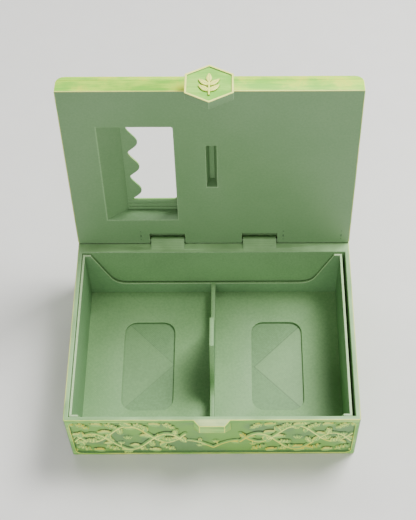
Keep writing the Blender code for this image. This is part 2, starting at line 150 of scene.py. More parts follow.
def sage_pla(name, dark, light, direction=45.0, seams=()):
    """PLA, fused-filament printed and left as it came: an even grey-green satin with faint lines where the
    nozzle went. The light catches each line a little, and the infill's seams show as 45 degree edges: a
    painted sheen lightens the wedge beyond each seam's apex, with a darker hairline along its edge."""
    made, tree, shader = plain(name, 0.5, 1.46)
    spot, parts, height = nozzle_lines(tree, direction)
    cloud = add(tree, "TexNoise", {"Vector": spot, "Scale": 22.0, "Detail": 4.0, "Roughness": 0.6})
    speck = add(tree, "TexNoise", {"Vector": spot, "Scale": 900.0, "Detail": 3.0})
    mottle = add(tree, "Math", {0: speck, 1: 1.2, 2: cloud}, operation="MULTIPLY_ADD")
    mottle = add(tree, "MapRange", {0: mottle, 1: 0.8, 2: 1.4}, interpolation_type="SMOOTHSTEP")
    colour = add(tree, "Mix", {0: mottle, 6: dark, 7: light}, 2, data_type="RGBA")
    for apex_x, apex_y, side, weight in seams:
        run = add(tree, "Math", {0: parts[0], 1: apex_x * MM}, operation="SUBTRACT")
        run = add(tree, "Math", {0: run, 1: side}, operation="MULTIPLY")
        fall = add(tree, "Math", {0: parts[1], 1: apex_y * MM}, operation="SUBTRACT")
        fall = add(tree, "Math", {0: fall}, operation="ABSOLUTE")
        edge = add(tree, "Math", {0: run, 1: fall}, operation="SUBTRACT")
        here = add(tree, "Math", {0: run, 1: -2.0 * MM}, operation="GREATER_THAN")
        inside = add(tree, "MapRange", {0: edge, 1: -0.1 * MM, 2: 0.2 * MM}, interpolation_type="SMOOTHSTEP")
        inside = add(tree, "Math", {0: inside, 1: here}, operation="MULTIPLY")
        line = add(tree, "Math", {0: edge}, operation="ABSOLUTE")
        limits = {0: line, 1: 0.15 * MM, 2: 0.6 * MM, 3: 0.55 * weight, 4: 0.0}
        line = add(tree, "MapRange", limits, interpolation_type="SMOOTHSTEP")
        line = add(tree, "Math", {0: line, 1: here}, operation="MULTIPLY")
        # painted sheen: the wedge past each seam is lightened in colour, standing in for light caught by
        # beads that run the other way
        share = add(tree, "Math", {0: inside, 1: 0.3 * weight}, operation="MULTIPLY")
        colour = add(tree, "Mix", {0: share, 6: colour, 7: "#9cc285"}, 2, data_type="RGBA")
        colour = add(tree, "Mix", {0: line, 6: colour, 7: "#4f6b48"}, 2, data_type="RGBA")
        height = add(tree, "Math", {0: inside, 1: 1.5 * weight, 2: height}, operation="MULTIPLY_ADD")
    roughness = add(tree, "Math", {0: speck, 1: 0.16, 2: 0.42}, operation="MULTIPLY_ADD")
    coat(tree, shader, colour, roughness, height, 0.018)
    return made


def rim_pla():
    """PLA on the rim's top: the nozzle ran round the box here, so the lines follow the walls, one inside
    another, with painted shade in the troughs between them, and the outermost line is burnished pale."""
    made, tree, shader = plain("sage_pla_rim", 0.5, 1.46)
    spot = add(tree, "TexCoord", {}, "Object")
    reach = add(tree, "VectorMath", {0: spot}, operation="ABSOLUTE")
    reach = add(tree, "VectorMath", {0: (SIDE, REAR, 1.0), 1: reach}, operation="SUBTRACT")
    parts = add(tree, "SeparateXYZ", {0: reach}, None)
    inward = add(tree, "Math", {0: parts[0], 1: parts[1]}, operation="MINIMUM")
    lines = add(tree, "Math", {0: inward, 1: math.tau / (0.8 * MM)}, operation="MULTIPLY")
    lines = add(tree, "Math", {0: lines}, operation="SINE")
    speck = add(tree, "TexNoise", {"Vector": spot, "Scale": 700.0, "Detail": 3.0})
    cloud = add(tree, "TexNoise", {"Vector": spot, "Scale": 60.0, "Detail": 3.0})
    patch = add(tree, "MapRange", {0: cloud, 1: 0.3, 2: 0.7}, interpolation_type="SMOOTHSTEP")
    colour = add(tree, "Mix", {0: patch, 6: "#7fa86c", 7: "#97c382"}, 2, data_type="RGBA")
    span = {0: inward, 1: 0.25 * MM, 2: 0.9 * MM, 3: 0.75, 4: 0.0}
    outer = add(tree, "MapRange", span, interpolation_type="SMOOTHSTEP")
    worn = add(tree, "Math", {0: outer, 1: patch}, operation="MULTIPLY")
    colour = add(tree, "Mix", {0: worn, 6: colour, 7: "#dcea94"}, 2, data_type="RGBA")
    # painted shade: the troughs between the nozzle lines are darkened in the colour itself
    groove = add(tree, "MapRange", {0: lines, 1: -0.5, 2: -1.0, 4: 0.25}, interpolation_type="SMOOTHSTEP")
    colour = add(tree, "Mix", {0: groove, 6: colour, 7: "#4f6b48"}, 2, data_type="RGBA")
    roughness = add(tree, "Math", {0: speck, 1: 0.2, 2: 0.38}, operation="MULTIPLY_ADD")
    height = add(tree, "Math", {0: speck, 1: 0.5, 2: lines}, operation="MULTIPLY_ADD")
    coat(tree, shader, colour, roughness, height, 0.03, 0.7)
    return made


def dry_brushed(name, ground, light, cover, tawny=0.35, gold="#c2ad62"):
    """Acrylic dry-brushed over the print: chalky yellow-green dragged along the surface, thicker in some
    places, with a little gold-brown where two coats met. The streaks are wider than real bristles so that
    they show."""
    made, tree, shader = plain(name, 0.58, 1.46)
    spot, _, height = nozzle_lines(tree, 0.0)
    dragged = add(tree, "Mapping", {"Vector": spot, "Scale": (40.0, 40.0, 420.0)})
    streak = add(tree, "TexNoise", {"Vector": dragged, "Scale": 1.0, "Detail": 5.0, "Roughness": 0.65})
    patch = add(tree, "TexNoise", {"Vector": spot, "Scale": 55.0, "Detail": 3.0})
    speck = add(tree, "TexNoise", {"Vector": spot, "Scale": 1100.0, "Detail": 3.0})
    thick = add(tree, "Math", {0: patch, 1: streak}, operation="ADD")
    thin = 1.13 - cover * 0.45
    thick = add(tree, "MapRange", {0: thick, 1: thin, 2: thin + 0.3}, interpolation_type="SMOOTHSTEP")
    colour = add(tree, "Mix", {0: thick, 6: ground, 7: light}, 2, data_type="RGBA")
    brown = add(tree, "Math", {0: speck, 1: 0.3, 2: patch}, operation="MULTIPLY_ADD")
    brown = add(tree, "MapRange", {0: brown, 1: 0.66, 2: 0.84, 4: tawny}, interpolation_type="SMOOTHSTEP")
    colour = add(tree, "Mix", {0: brown, 6: colour, 7: gold}, 2, data_type="RGBA")
    roughness = add(tree, "Math", {0: speck, 1: 0.2, 2: 0.46}, operation="MULTIPLY_ADD")
    height = add(tree, "Math", {0: streak, 1: 1.2, 2: height}, operation="MULTIPLY_ADD")
    coat(tree, shader, colour, roughness, height, 0.03, 0.7)
    return made


def carved_relief():
    """The printed carving, dry-brushed: the sunk ground is grey-green with greener patches, a painted shade
    darkens the ground just above the stems and leaves, and their crests are ivory with some gold."""
    made, tree, shader = plain("dry_brushed_carving", 0.56, 1.46)
    spot, _, height = nozzle_lines(tree, 0.0)
    names = ("raised", "crest", "corner")
    raised, crest, corner = (add(tree, "Attribute", {}, "Fac", attribute_name=name) for name in names)
    patch = add(tree, "TexNoise", {"Vector": spot, "Scale": 45.0, "Detail": 2.0})
    speck = add(tree, "TexNoise", {"Vector": spot, "Scale": 700.0, "Detail": 4.0})
    green = add(tree, "MapRange", {0: patch, 1: 0.4, 2: 0.56}, interpolation_type="SMOOTHSTEP")
    colour = add(tree, "Mix", {0: green, 6: "#749c60", 7: "#80b356"}, 2, data_type="RGBA")
    lifted = add(tree, "MapRange", {0: raised, 1: 0.15, 2: 0.6}, interpolation_type="SMOOTHSTEP")
    colour = add(tree, "Mix", {0: lifted, 6: colour, 7: "#97cc68"}, 2, data_type="RGBA")
    # painted shade: dark green laid on the ground just above the raised shapes, where their shadow falls
    painted_shade = add(tree, "MapRange", {0: corner, 1: 0.35, 2: 0.8, 4: 0.88}, interpolation_type="SMOOTHSTEP")
    colour = add(tree, "Mix", {0: painted_shade, 6: colour, 7: "#213d1d"}, 2, data_type="RGBA")
    rubbed = add(tree, "Math", {0: speck, 1: 0.5, 2: crest}, operation="MULTIPLY_ADD")
    rubbed = add(tree, "MapRange", {0: rubbed, 1: 0.42, 2: 0.8}, interpolation_type="SMOOTHSTEP")
    gold = add(tree, "MapRange", {0: patch, 1: 0.5, 2: 0.62}, interpolation_type="SMOOTHSTEP")
    pale = add(tree, "Mix", {0: gold, 6: "#eefc7c", 7: "#e8e048"}, 2, data_type="RGBA")
    colour = add(tree, "Mix", {0: rubbed, 6: colour, 7: pale}, 2, data_type="RGBA")
    roughness = add(tree, "Math", {0: speck, 1: 0.2, 2: 0.46}, operation="MULTIPLY_ADD")
    coat(tree, shader, colour, roughness, height, 0.03)
    return made


def ivory_leaf_paint():
    """Ivory acrylic over the printed sprig: thick and chalky, with green left in the grooves."""
    made, tree, shader = plain("ivory_acrylic", 0.5, 1.47)
    spot = add(tree, "TexCoord", {}, "Object")
    raised = add(tree, "Attribute", {}, "Fac", attribute_name="raised")
    speck = add(tree, "TexNoise", {"Vector": spot, "Scale": 900.0, "Detail": 4.0})
    patchy = add(tree, "Math", {0: speck, 1: 0.3, 2: raised}, operation="MULTIPLY_ADD")
    patchy = add(tree, "MapRange", {0: patchy, 1: 0.45, 2: 0.8}, interpolation_type="SMOOTHSTEP")
    colour = add(tree, "Mix", {0: patchy, 6: "#3f7d1e", 7: "#f4fc74"}, 2, data_type="RGBA")
    warm = add(tree, "MapRange", {0: speck, 1: 0.5, 2: 0.7, 4: 0.25}, interpolation_type="SMOOTHSTEP")
    colour = add(tree, "Mix", {0: warm, 6: colour, 7: "#ecdc50"}, 2, data_type="RGBA")
    roughness = add(tree, "Math", {0: speck, 1: 0.25, 2: 0.36}, operation="MULTIPLY_ADD")
    coat(tree, shader, colour, roughness, speck, 0.03, 0.5)
    return made


def filament():
    """Raw 1.75 mm filament used as a pin: smoother and glossier than print, with fine draw lines."""
    made, tree, shader = plain("raw_filament", 0.32, 1.46)
    spot = add(tree, "TexCoord", {}, "Object")
    drawn = add(tree, "Mapping", {"Vector": spot, "Scale": (30.0, 2400.0, 2400.0)})
    lines = add(tree, "TexNoise", {"Vector": drawn, "Scale": 1.0, "Detail": 3.0})
    colour = add(tree, "Mix", {0: lines, 6: "#5f8055", 7: "#769a68"}, 2, data_type="RGBA")
    roughness = add(tree, "Math", {0: lines, 1: 0.2, 2: 0.22}, operation="MULTIPLY_ADD")
    coat(tree, shader, colour, roughness, lines, 0.01)
    return made


def nickel():
    """Nickel plating on a magnet: a warm grey mirror, faintly orange-peeled and scuffed."""
    made, tree, shader = plain("nickel_plating", 0.22, 1.5)
    shader.inputs["Metallic"].default_value = 1.0
    spot = add(tree, "TexCoord", {}, "Object")
    scuff = add(tree, "TexNoise", {"Vector": spot, "Scale": 1400.0, "Detail": 4.0})
    colour = add(tree, "Mix", {0: scuff, 6: "#b9b5ab", 7: "#d3d0c7"}, 2, data_type="RGBA")
    roughness = add(tree, "Math", {0: scuff, 1: 0.3, 2: 0.08}, operation="MULTIPLY_ADD")
    coat(tree, shader, colour, roughness, scuff, 0.005)
    return made


def paper_floor():
    """Seamless studio paper: matt, pale and very slightly fibrous."""
    made, tree, shader = plain("studio_paper", 0.9, 1.45)
    spot = add(tree, "TexCoord", {}, "Object")
    fibre = add(tree, "TexNoise", {"Vector": spot, "Scale": 60.0, "Detail": 5.0})
    colour = add(tree, "Mix", {0: fibre, 6: "#e2e1dc", 7: "#e8e7e3"}, 2, data_type="RGBA")
    tree.links.new(colour, shader.inputs["Base Color"])
    return made


# ---------------------------------------------------------------- shapes


def place_piece(name, mesh, body, materials, matrix=None, stands_for=()):
    for material in materials:
        mesh.materials.append(material)
    piece = bpy.data.objects.new(name, mesh)
    bpy.context.scene.collection.objects.link(piece)
    if matrix is not None:
        piece.matrix_world = matrix
    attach(piece, body)
    if stands_for:
        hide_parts(*stands_for)
    return piece


def shade(mesh, angle=36.0):
    mesh.shade_smooth()
    mesh.set_sharp_from_angle(angle=math.radians(angle))


def soften(solid, width, finish_of, edge_finish_of, joint=None):
    """Gives each face its finish, then rounds every convex edge that turns more than 28 degrees.
    Edges around a joint, at a height between its two values, stay sharp: the two layers look like one."""
    bmesh.ops.dissolve_limit(
        solid, angle_limit=math.radians(0.5), verts=solid.verts[:], edges=solid.edges[:], delimit=set()
    )
    solid.normal_update()
    for face in solid.faces:
        face.material_index = finish_of(face.calc_center_median() / MM, face.normal)
    sharp = [
        edge
        for edge in solid.edges
        if edge.is_manifold and edge.is_convex and edge.calc_face_angle(0.0) > math.radians(28)
        and not (joint and all(joint[0] < vertex.co.z < joint[1] for vertex in edge.verts))
    ]
    rounded = bmesh.ops.bevel(
        solid,
        geom=sharp,
        offset=width,
        offset_type="OFFSET",
        segments=3,
        profile=0.5,
        affect="EDGES",
        clamp_overlap=False,
    )
    for face in rounded["faces"]:
        face.material_index = edge_finish_of(face.calc_center_median() / MM)


def printed_copy(
    node, name, body, materials, finish_of, edge_finish_of, width, matrix=None, joint=None
):
    """A CAD solid with its corners rounded the way a nozzle leaves them."""
    solid = bmesh.new()
    solid.from_mesh(NODES[node].data)
    if matrix is not None:
        solid.transform(matrix.inverted())
    bmesh.ops.remove_doubles(solid, verts=solid.verts[:], dist=0.03 * MM)
    soften(solid, width, finish_of, edge_finish_of, joint)
    mesh = bpy.data.meshes.new(name)
    solid.to_mesh(mesh)
    solid.free()
    shade(mesh)
    return place_piece(name, mesh, body, materials, matrix, (node,))


def prism(outline, low, high):
    """A closed solid of one outline in x and y, between two heights."""
    solid = bmesh.new()
    face = solid.faces.new([solid.verts.new((x, y, low)) for x, y in outline])
    grown = bmesh.ops.extrude_face_region(solid, geom=[face])
    moved = [part for part in grown["geom"] if isinstance(part, bmesh.types.BMVert)]
    bmesh.ops.translate(solid, verts=moved, vec=(0.0, 0.0, high - low))
    bmesh.ops.recalc_face_normals(solid, faces=solid.faces)
    return solid


def as_object(name, solid):
    mesh = bpy.data.meshes.new(name)
    solid.to_mesh(mesh)
    solid.free()
    made = bpy.data.objects.new(name, mesh)
    bpy.context.scene.collection.objects.link(made)
    return made


def carve(target, tool, operation="DIFFERENCE"):
    """Cuts or joins a tool and throws it away."""
    step = target.modifiers.new("carve", "BOOLEAN")
    step.object = tool
    step.operation = operation
    step.solver = "EXACT"
    bpy.context.view_layer.update()
    seen = target.evaluated_get(bpy.context.evaluated_depsgraph_get())
    result = bpy.data.meshes.new_from_object(seen)
    target.modifiers.clear()
    target.data = result
    bpy.data.objects.remove(tool, do_unlink=True)


def curve_through(points, closed=False, steps=8):
    """A smooth curve through given points, by Catmull-Rom."""
    points = [Vector(point) for point in points]
    count = len(points)
    smooth = []
    for place in range(count if closed else count - 1):
        if closed:
            a, b, c, d = (points[(place + shift) % count] for shift in (-1, 0, 1, 2))
        else:
            a, b = points[max(place - 1, 0)], points[place]
            c, d = points[place + 1], points[min(place + 2, count - 1)]
        for step in range(steps):
            t = step / steps
            smooth.append(
                0.5
                * (
                    2 * b
                    + (c - a) * t
                    + (2 * a - 5 * b + 4 * c - d) * t * t
                    + (3 * b - a - 3 * c + d) * t * t * t
                )
            )
    if not closed:
        smooth.append(points[-1])
    return smooth


def rounded_rectangle(low, high, radius, steps=6):
    outline = []
    corners = (
        (high[0] - radius, high[1] - radius, 0),
        (low[0] + radius, high[1] - radius, 90),
        (low[0] + radius, low[1] + radius, 180),
        (high[0] - radius, low[1] + radius, 270),
    )
    for x, y, start in corners:
        for step in range(steps + 1):
            angle = math.radians(start + 90 * step / steps)
            outline.append((x + radius * math.cos(angle), y + radius * math.sin(angle)))
    return outline


# ---------------------------------------------------------------- carving


def spread(heights, reach):
    """Heights averaged with their neighbours on the grid, twice, in both directions."""
    for axis in (0, 1, 0, 1):
        heights = sum(np.roll(heights, shift, axis) for shift in range(-reach, reach + 1)) / (2 * reach + 1)
    return heights


class Carving:
    """A sunk panel's relief on a grid laid out in millimetres: 0 is its floor and 1 its highest crest."""

    def __init__(self, low, high, corner, pitch=0.32):
        self.low, self.high, self.corner = low, high, corner
        across = int(round((high[0] - low[0]) / pitch))
        up = int(round((high[1] - low[1]) / pitch))
        self.u = np.linspace(low[0], high[0], across + 1)
        self.v = np.linspace(low[1], high[1], up + 1)
        self.height = np.zeros((len(self.v), len(self.u)))
        self.brushed = np.zeros_like(self.height)

    def window(self, low, high):
        """The part of the grid around something: two slices, and its u and v values."""
        first_u, last_u = np.searchsorted(self.u, (low[0], high[0]))
        first_v, last_v = np.searchsorted(self.v, (low[1], high[1]))
        rows, columns = slice(first_v, last_v), slice(first_u, last_u)
        return rows, columns, self.u[None, columns], self.v[rows, None]

    def raise_to(self, rows, columns, heights, brushed):
        """Where these heights stand above what is there, they replace it, and so does their brushed paint."""
        higher = heights > self.height[rows, columns]
        self.height[rows, columns] = np.where(higher, heights, self.height[rows, columns])
        self.brushed[rows, columns] = np.where(higher, brushed, self.brushed[rows, columns])

    def knob(self, u, v, radius, top):
        rows, columns, us, vs = self.window((u - radius, v - radius), (u + radius, v + radius))
        if us.size and vs.size:
            away = ((us - u) ** 2 + (vs - v) ** 2) / radius**2
            ball = top * np.sqrt(np.clip(1 - away, 0, 1))
            self.raise_to(rows, columns, ball, np.clip(1 - away / 0.3, 0, 1))

    def stem(self, points, width=1.1, top=0.85, thin=0.55):
        """A round stem through points, thinner at its far end."""
        path = curve_through(points, steps=24)
        for place, point in enumerate(path):
            along = place / len(path)
            radius = width * (1 - (1 - thin) * along)
            self.knob(point[0], point[1], radius, top * (1 - 0.25 * along))

    def leaf(self, base, tip, half_width, top=0.9):
        """A domed leaf with a groove for its midrib, widest nearer its base."""
        base, tip = np.array(base, float), np.array(tip, float)
        length = float(np.hypot(*(tip - base)))
        along = (tip - base) / length
        reach = half_width + 0.5
        low, high = np.minimum(base, tip) - reach, np.maximum(base, tip) + reach
        rows, columns, us, vs = self.window(low, high)
        if not (us.size and vs.size):
            return
        a = ((us - base[0]) * along[0] + (vs - base[1]) * along[1]) / length
        b = (vs - base[1]) * along[0] - (us - base[0]) * along[1]
        t = np.clip(a, 0, 1)
        half = half_width * np.sin(math.pi * t**0.75) + 1e-6
        share = np.abs(b) / half
        inside = (a > 0) & (a < 1) & (share < 1)
        dome = 0.55 + 0.45 * np.sqrt(np.clip(1 - share**2, 0, 1)) * (0.75 + 0.25 * np.sin(math.pi * t))
        midrib = 0.4 * np.exp(-((b / 0.28) ** 2)) * np.clip(1.25 - t, 0, 1)
        blade = np.where(inside, top * (dome - midrib), 0)
        self.raise_to(rows, columns, blade, np.clip((share - 0.55) / 0.3, 0, 1))

    def berries(self, u, v, spread=1.7, radius=0.7):
        """A tight cluster of round berries, packed in a spiral."""
        for berry in range(11):
            angle = berry * math.radians(137.5)
            reach = spread * math.sqrt(berry / 10)
            across, up = 1.35 * reach * math.cos(angle), reach * math.sin(angle)
            self.knob(u + across, v + up, radius, 0.75 - 0.02 * berry)

    def fern(self, base, tip, pairs=4, reach=3.2):
        """A short stem with small leaves in pairs."""
        base, tip = Vector(base), Vector(tip)
        self.stem([base, tip], 0.6, 0.7)
        along = (tip - base).normalized()
        across = Vector((-along.y, along.x))
        for pair in range(pairs):
            start = base.lerp(tip, (pair + 0.6) / pairs)
            size = reach * (1 - 0.35 * pair / pairs)
            for side in (-1, 1):
                self.leaf(start, start + (along * 0.75 + across * side) * size * 0.8, 0.85, 0.85)
        self.leaf(base.lerp(tip, 0.85), tip + along * reach * 0.6, 0.9, 0.85)

    def vine(self, points, seed, spacing=8.5, leaf=6.2, width=1.1):
        """A long stem with leaves to both sides, a few berries and a fern or two, in a seeded order."""
        self.stem(points, width, 0.85, 0.8)
        chance = random.Random(seed)
        path = curve_through(points, steps=24)
        gone, side, due = 0.0, 1, spacing * 0.6
        for before, point in zip(path, path[1:]):
            gone += (point - before).length
            if gone < due:
                continue
            due = gone + spacing * chance.uniform(0.75, 1.25)
            along = (point - before).normalized()
            across = Vector((-along.y, along.x)) * side
            heading = (along * chance.uniform(0.5, 1.1) + across).normalized()
            kind = chance.random()
            if kind < 0.6:
                size = leaf * chance.uniform(0.75, 1.15)
                self.leaf(point + heading * 0.8, point + heading * (0.8 + size), size * 0.27)
            elif kind < 0.8:
                self.stem([point, point + heading * 3.2], 0.6, 0.65)
                self.berries(*(point + heading * 4.4), 1.2, 0.6)
            else:
                self.fern(point + heading * 0.6, point + heading * leaf * 0.9, 3, 2.4)
            side = -side

    def panel(self, name, place, body, slot, material, matrix=None, keep=None):
        """The grid as a mesh. Outside the rounded field it dips under the border, out of sight."""
        us, vs = np.meshgrid(self.u, self.v)
        middle = ((self.low[0] + self.high[0]) / 2, (self.low[1] + self.high[1]) / 2)
        past_u = np.abs(us - middle[0]) - (self.high[0] - self.low[0]) / 2 + self.corner
        past_v = np.abs(vs - middle[1]) - (self.high[1] - self.low[1]) / 2 + self.corner
        outside = np.hypot(np.clip(past_u, 0, None), np.clip(past_v, 0, None)) - self.corner
        heights = np.where(outside > -0.15, -0.25, np.clip(self.height, 0.02, 1.0))
        spots = place(us * MM, vs * MM, heights * CARVING_RISE)
        count_v, count_u = heights.shape
        number = np.arange(count_v * count_u).reshape(count_v, count_u)
        quads = np.stack([number[:-1, :-1], number[:-1, 1:], number[1:, 1:], number[1:, :-1]], axis=-1)
        if keep is not None:
            quads = quads[keep(us, vs)[:-1, :-1]]
        quads = quads.reshape(-1, 4)
        mesh = bpy.data.meshes.new(name)
        mesh.from_pydata(np.stack(spots, axis=-1).reshape(-1, 3).tolist(), [], quads.tolist())
        shapes = np.clip(heights, 0, 1)
        # painted shade: 'corner' is the relief, spread and shifted up two rows, less the relief itself, so it
        # marks the ground just above each raised shape for darkening
        below = np.roll(spread(shapes, 2), 2, axis=0)
        levels = {"raised": shapes, "crest": self.brushed, "corner": np.clip(2.0 * (below - shapes), 0, 1)}
        for level, values in levels.items():
            mesh.attributes.new(level, "FLOAT", "POINT").data.foreach_set("value", values.ravel())
        mesh.update()
        mesh.shade_smooth()
        return place_piece(name, mesh, body, [material], matrix)


def front_carving():
    """Mirrored pairs of stems that arch away from the boss, with ferns and berries between them."""
    work = Carving((-71.7, 1.3), (71.7, 38.1), 3.6)
    for side in (-1, 1):
        low, high, inner = [], [], []
        for step in range(13):
            u = side * (14 + 57 * step / 12)
            swing = math.sin(math.tau * step / 8)
            low.append((u, 15 + 9.5 * swing))
            high.append((u, 24 - 9.5 * swing))
            inner.append((side * 13 * step / 12, 8 + 8 * math.sin(math.pi * step / 24)))
        work.vine(low, 5 + side, 6.0, 6.4)
        work.vine(high, 9 + side, 6.0, 6.4)
        work.vine(inner, 14 + side, 6.0, 4.5, 0.9)
        for step in range(4):
            u = side * (20 + 14.5 * step)
            work.fern((u, 5.0), (u + 6 * side, 9.0), 3, 2.6)
            work.fern((u + 5 * side, 35.5), (u, 31.0), 3, 2.6)
            work.berries(u + 9 * side, 19.5, 1.7)
            work.leaf((u + 7 * side, 4.0), (u + 14 * side, 5.5), 1.6)
            work.leaf((u + 6 * side, 34.0), (u + 13 * side, 35.5), 1.6)
    return work


def side_carving(half, seed):
    """Two long stems that cross and cross back, the way they do on the front."""
    work = Carving((-half, 1.3), (half, 38.1), 3.6)
    first, second = [], []
    waves = max(2, round(half / 26))
    for step in range(4 * waves + 1):
        u = -half + 2 * half * step / (4 * waves)
        swing = math.sin(math.tau * waves / 2 * (u + half) / (2 * half) + seed)
        first.append((u, 19 + 11.5 * swing))
        second.append((u, 20 - 12.5 * swing + 2 * math.sin(u / 7)))
    work.vine(first, seed, 7.5)
    work.vine(second, seed + 11, 7.5)
    chance = random.Random(seed + 23)
    for _ in range(int(half / 6)):
        u, v = chance.uniform(4 - half, half - 4), chance.choice((5.0, 34.0))
        work.leaf((u, v), (u + chance.uniform(4, 6), v + chance.uniform(-1.5, 1.5)), 1.5, 0.8)
    return work


def window_outline():
    """The cover's opening. Three evenly spaced leaf tips reach in from its left side."""
    left, right, far, near, leaves, steps = -43.0, -19.2, -77.2, -25.0, 3, 14
    outline = []
    for step in range(leaves * steps):
        share = step % steps / steps
        reach = 5.4 * math.sin(math.pi * share**1.35) ** 1.3
        outline.append((left + reach, far + (near - far) * step / (leaves * steps)))
    outline += [(left, near), (right - 1, near), (right, near - 1), (right, far + 1), (right - 1, far)]
    return [(x * MM, y * MM) for x, y in outline]


def lid_carving():
    """The lid's outside: stems that wind round the window and across the field."""
    work = Carving((-68.35, -103.2), (68.35, -2.7), 3.6, 0.42)
    near = [(-66, -10), (-50, -14), (-30, -10), (-8, -16), (14, -9), (38, -16), (66, -10)]
    work.vine(near, 3, 8.5, 7.0, 1.3)
    far = [(-64, -96), (-46, -88), (-22, -93), (0, -84), (20, -94), (44, -86), (65, -96)]
    work.vine(far, 5, 8.5, 7.0, 1.3)
    work.vine([(-60, -20), (-52, -36), (-58, -52), (-50, -68), (-58, -84)], 8, 8.5, 6.6, 1.2)
    work.vine([(-8, -22), (4, -36), (-8, -52), (6, -68), (-6, -82)], 13, 8.5, 7.0, 1.3)
    work.vine([(60, -20), (40, -34), (52, -52), (30, -66), (48, -84)], 17, 8.5, 7.4, 1.3)
    work.vine([(16, -22), (30, -40), (18, -58), (34, -78), (22, -88)], 21, 8.5, 7.0, 1.2)
    work.vine([(62, -80), (50, -64), (62, -44), (46, -26)], 27, 8.5, 6.4, 1.1)
    return work


# ---------------------------------------------------------------- pieces


def make_box(inside, rim, outside, worn, corner, carving):
    side, end, top = SIDE / MM, REAR / MM, RIM / MM

    def finish_of(spot, normal):
        outer = abs(spot.x) > side - 0.1 or abs(spot.y) > end - 0.05
        if normal.z > 0.7 and spot.z > top - 0.5:
            return 1
        return 2 if outer and normal.z > -0.9 else 0

    # inner rounded edges take the lighter plain plastic, a painted highlight; outer ones take the dry-brushed
    # paint
    def edge_finish_of(spot):
        return 3 if abs(spot.x) > side - 0.6 or abs(spot.y) > end - 0.65 else 4

    slot = "sage_print_carved"
    finishes = [inside, rim, outside, worn, corner]
    printed_copy("box_shell", "box_shell_print", "box", finishes, finish_of, edge_finish_of, 0.28 * MM)
    near, far = FRONT + FIELD_DEPTH, REAR - FIELD_DEPTH
    left, right = -SIDE + FIELD_DEPTH, SIDE - FIELD_DEPTH
    front_carving().panel("front_carving", lambda u, v, h: (u, near - h, v), "box", slot, carving)
    side_carving(71.7, 2).panel("rear_carving", lambda u, v, h: (-u, far + h, v), "box", slot, carving)
    side_carving(52.45, 4).panel(
        "left_carving", lambda u, v, h: (left - side_rise(h), -u, v), "box", slot, carving
    )
    side_carving(52.45, 7).panel(
        "right_carving", lambda u, v, h: (right + side_rise(h), u, v), "box", slot, carving
    )


def side_rise(height):
    """The side panels stop just under their borders, because the lid is as wide as the box."""
    return height * (FIELD_DEPTH - 0.03 * MM) / CARVING_RISE


def make_tray(floor, painted_wall_top, shaded_side_wall):
    wall_top_from, rim_from, side_from, middle, end_from = 39.0, 11.0, 60, -3.5, 46

    def finish_of(spot, normal):
        # painted shade: the upright faces take the darker copy of the tray plastic
        if abs(normal.z) < 0.3:
            return 2
        # painted highlight: flat tops of the outer walls, above 39 mm, take the lighter copy
        return 1 if normal.z > 0.7 and spot.z > wall_top_from and abs(spot.x) > side_from else 0

    def edge_finish_of(spot):
        near_wall = abs(spot.x) > side_from or abs(spot.y - middle) > end_from
        # painted highlight: rounded edges near the walls, above 11 mm, take the lighter copy too
        return 1 if spot.z > rim_from and near_wall else 0

    finishes = [floor, painted_wall_top, shaded_side_wall]
    name, slot = "card_tray_print", "sage_print"
    printed_copy("card_tray", name, "tray", finishes, finish_of, edge_finish_of, 0.22 * MM)


def make_lid_body(inside, outside, worn, corner, pale, scar):
    front, side = LID_FRONT / MM, SIDE / MM

    def finish_of(spot, normal):
        outer = abs(spot.x) > side - 5 or spot.y < front + 0.5
        return 1 if outer and abs(normal.z) < 0.9 else 0

    def edge_finish_of(spot):
        if spot.y < front + 0.6:
            return 4
        return 2 if abs(spot.x) > side - 1 else 3

    finishes = [inside, outside, worn, corner, pale]
    name = "lid_body_print"
    printed_copy(
        "lid_body", name, "lid", finishes, finish_of, edge_finish_of, 0.35 * MM, LID_OPEN, LID_JOINT
    )
    marks = bmesh.new()
    for x in (-39.4, 37.8, 69.3):
        for y, length in ((-8.0, 0.45), (-4.4, 1.5), (-1.7, 0.4)):
            stretch = Matrix.Diagonal((0.38 * MM, length * MM / 1.4, 0.07 * MM, 1.0))
            spot = Matrix.Translation(Vector((x * MM, y * MM, LID_UNDER)))
            bmesh.ops.create_icosphere(marks, subdivisions=2, radius=1.0, matrix=spot @ stretch)
    mesh = bpy.data.meshes.new("lid_print_scars")
    marks.to_mesh(mesh)
    marks.free()
    mesh.shade_smooth()
    place_piece("lid_print_scars", mesh, "lid", [scar], LID_OPEN)


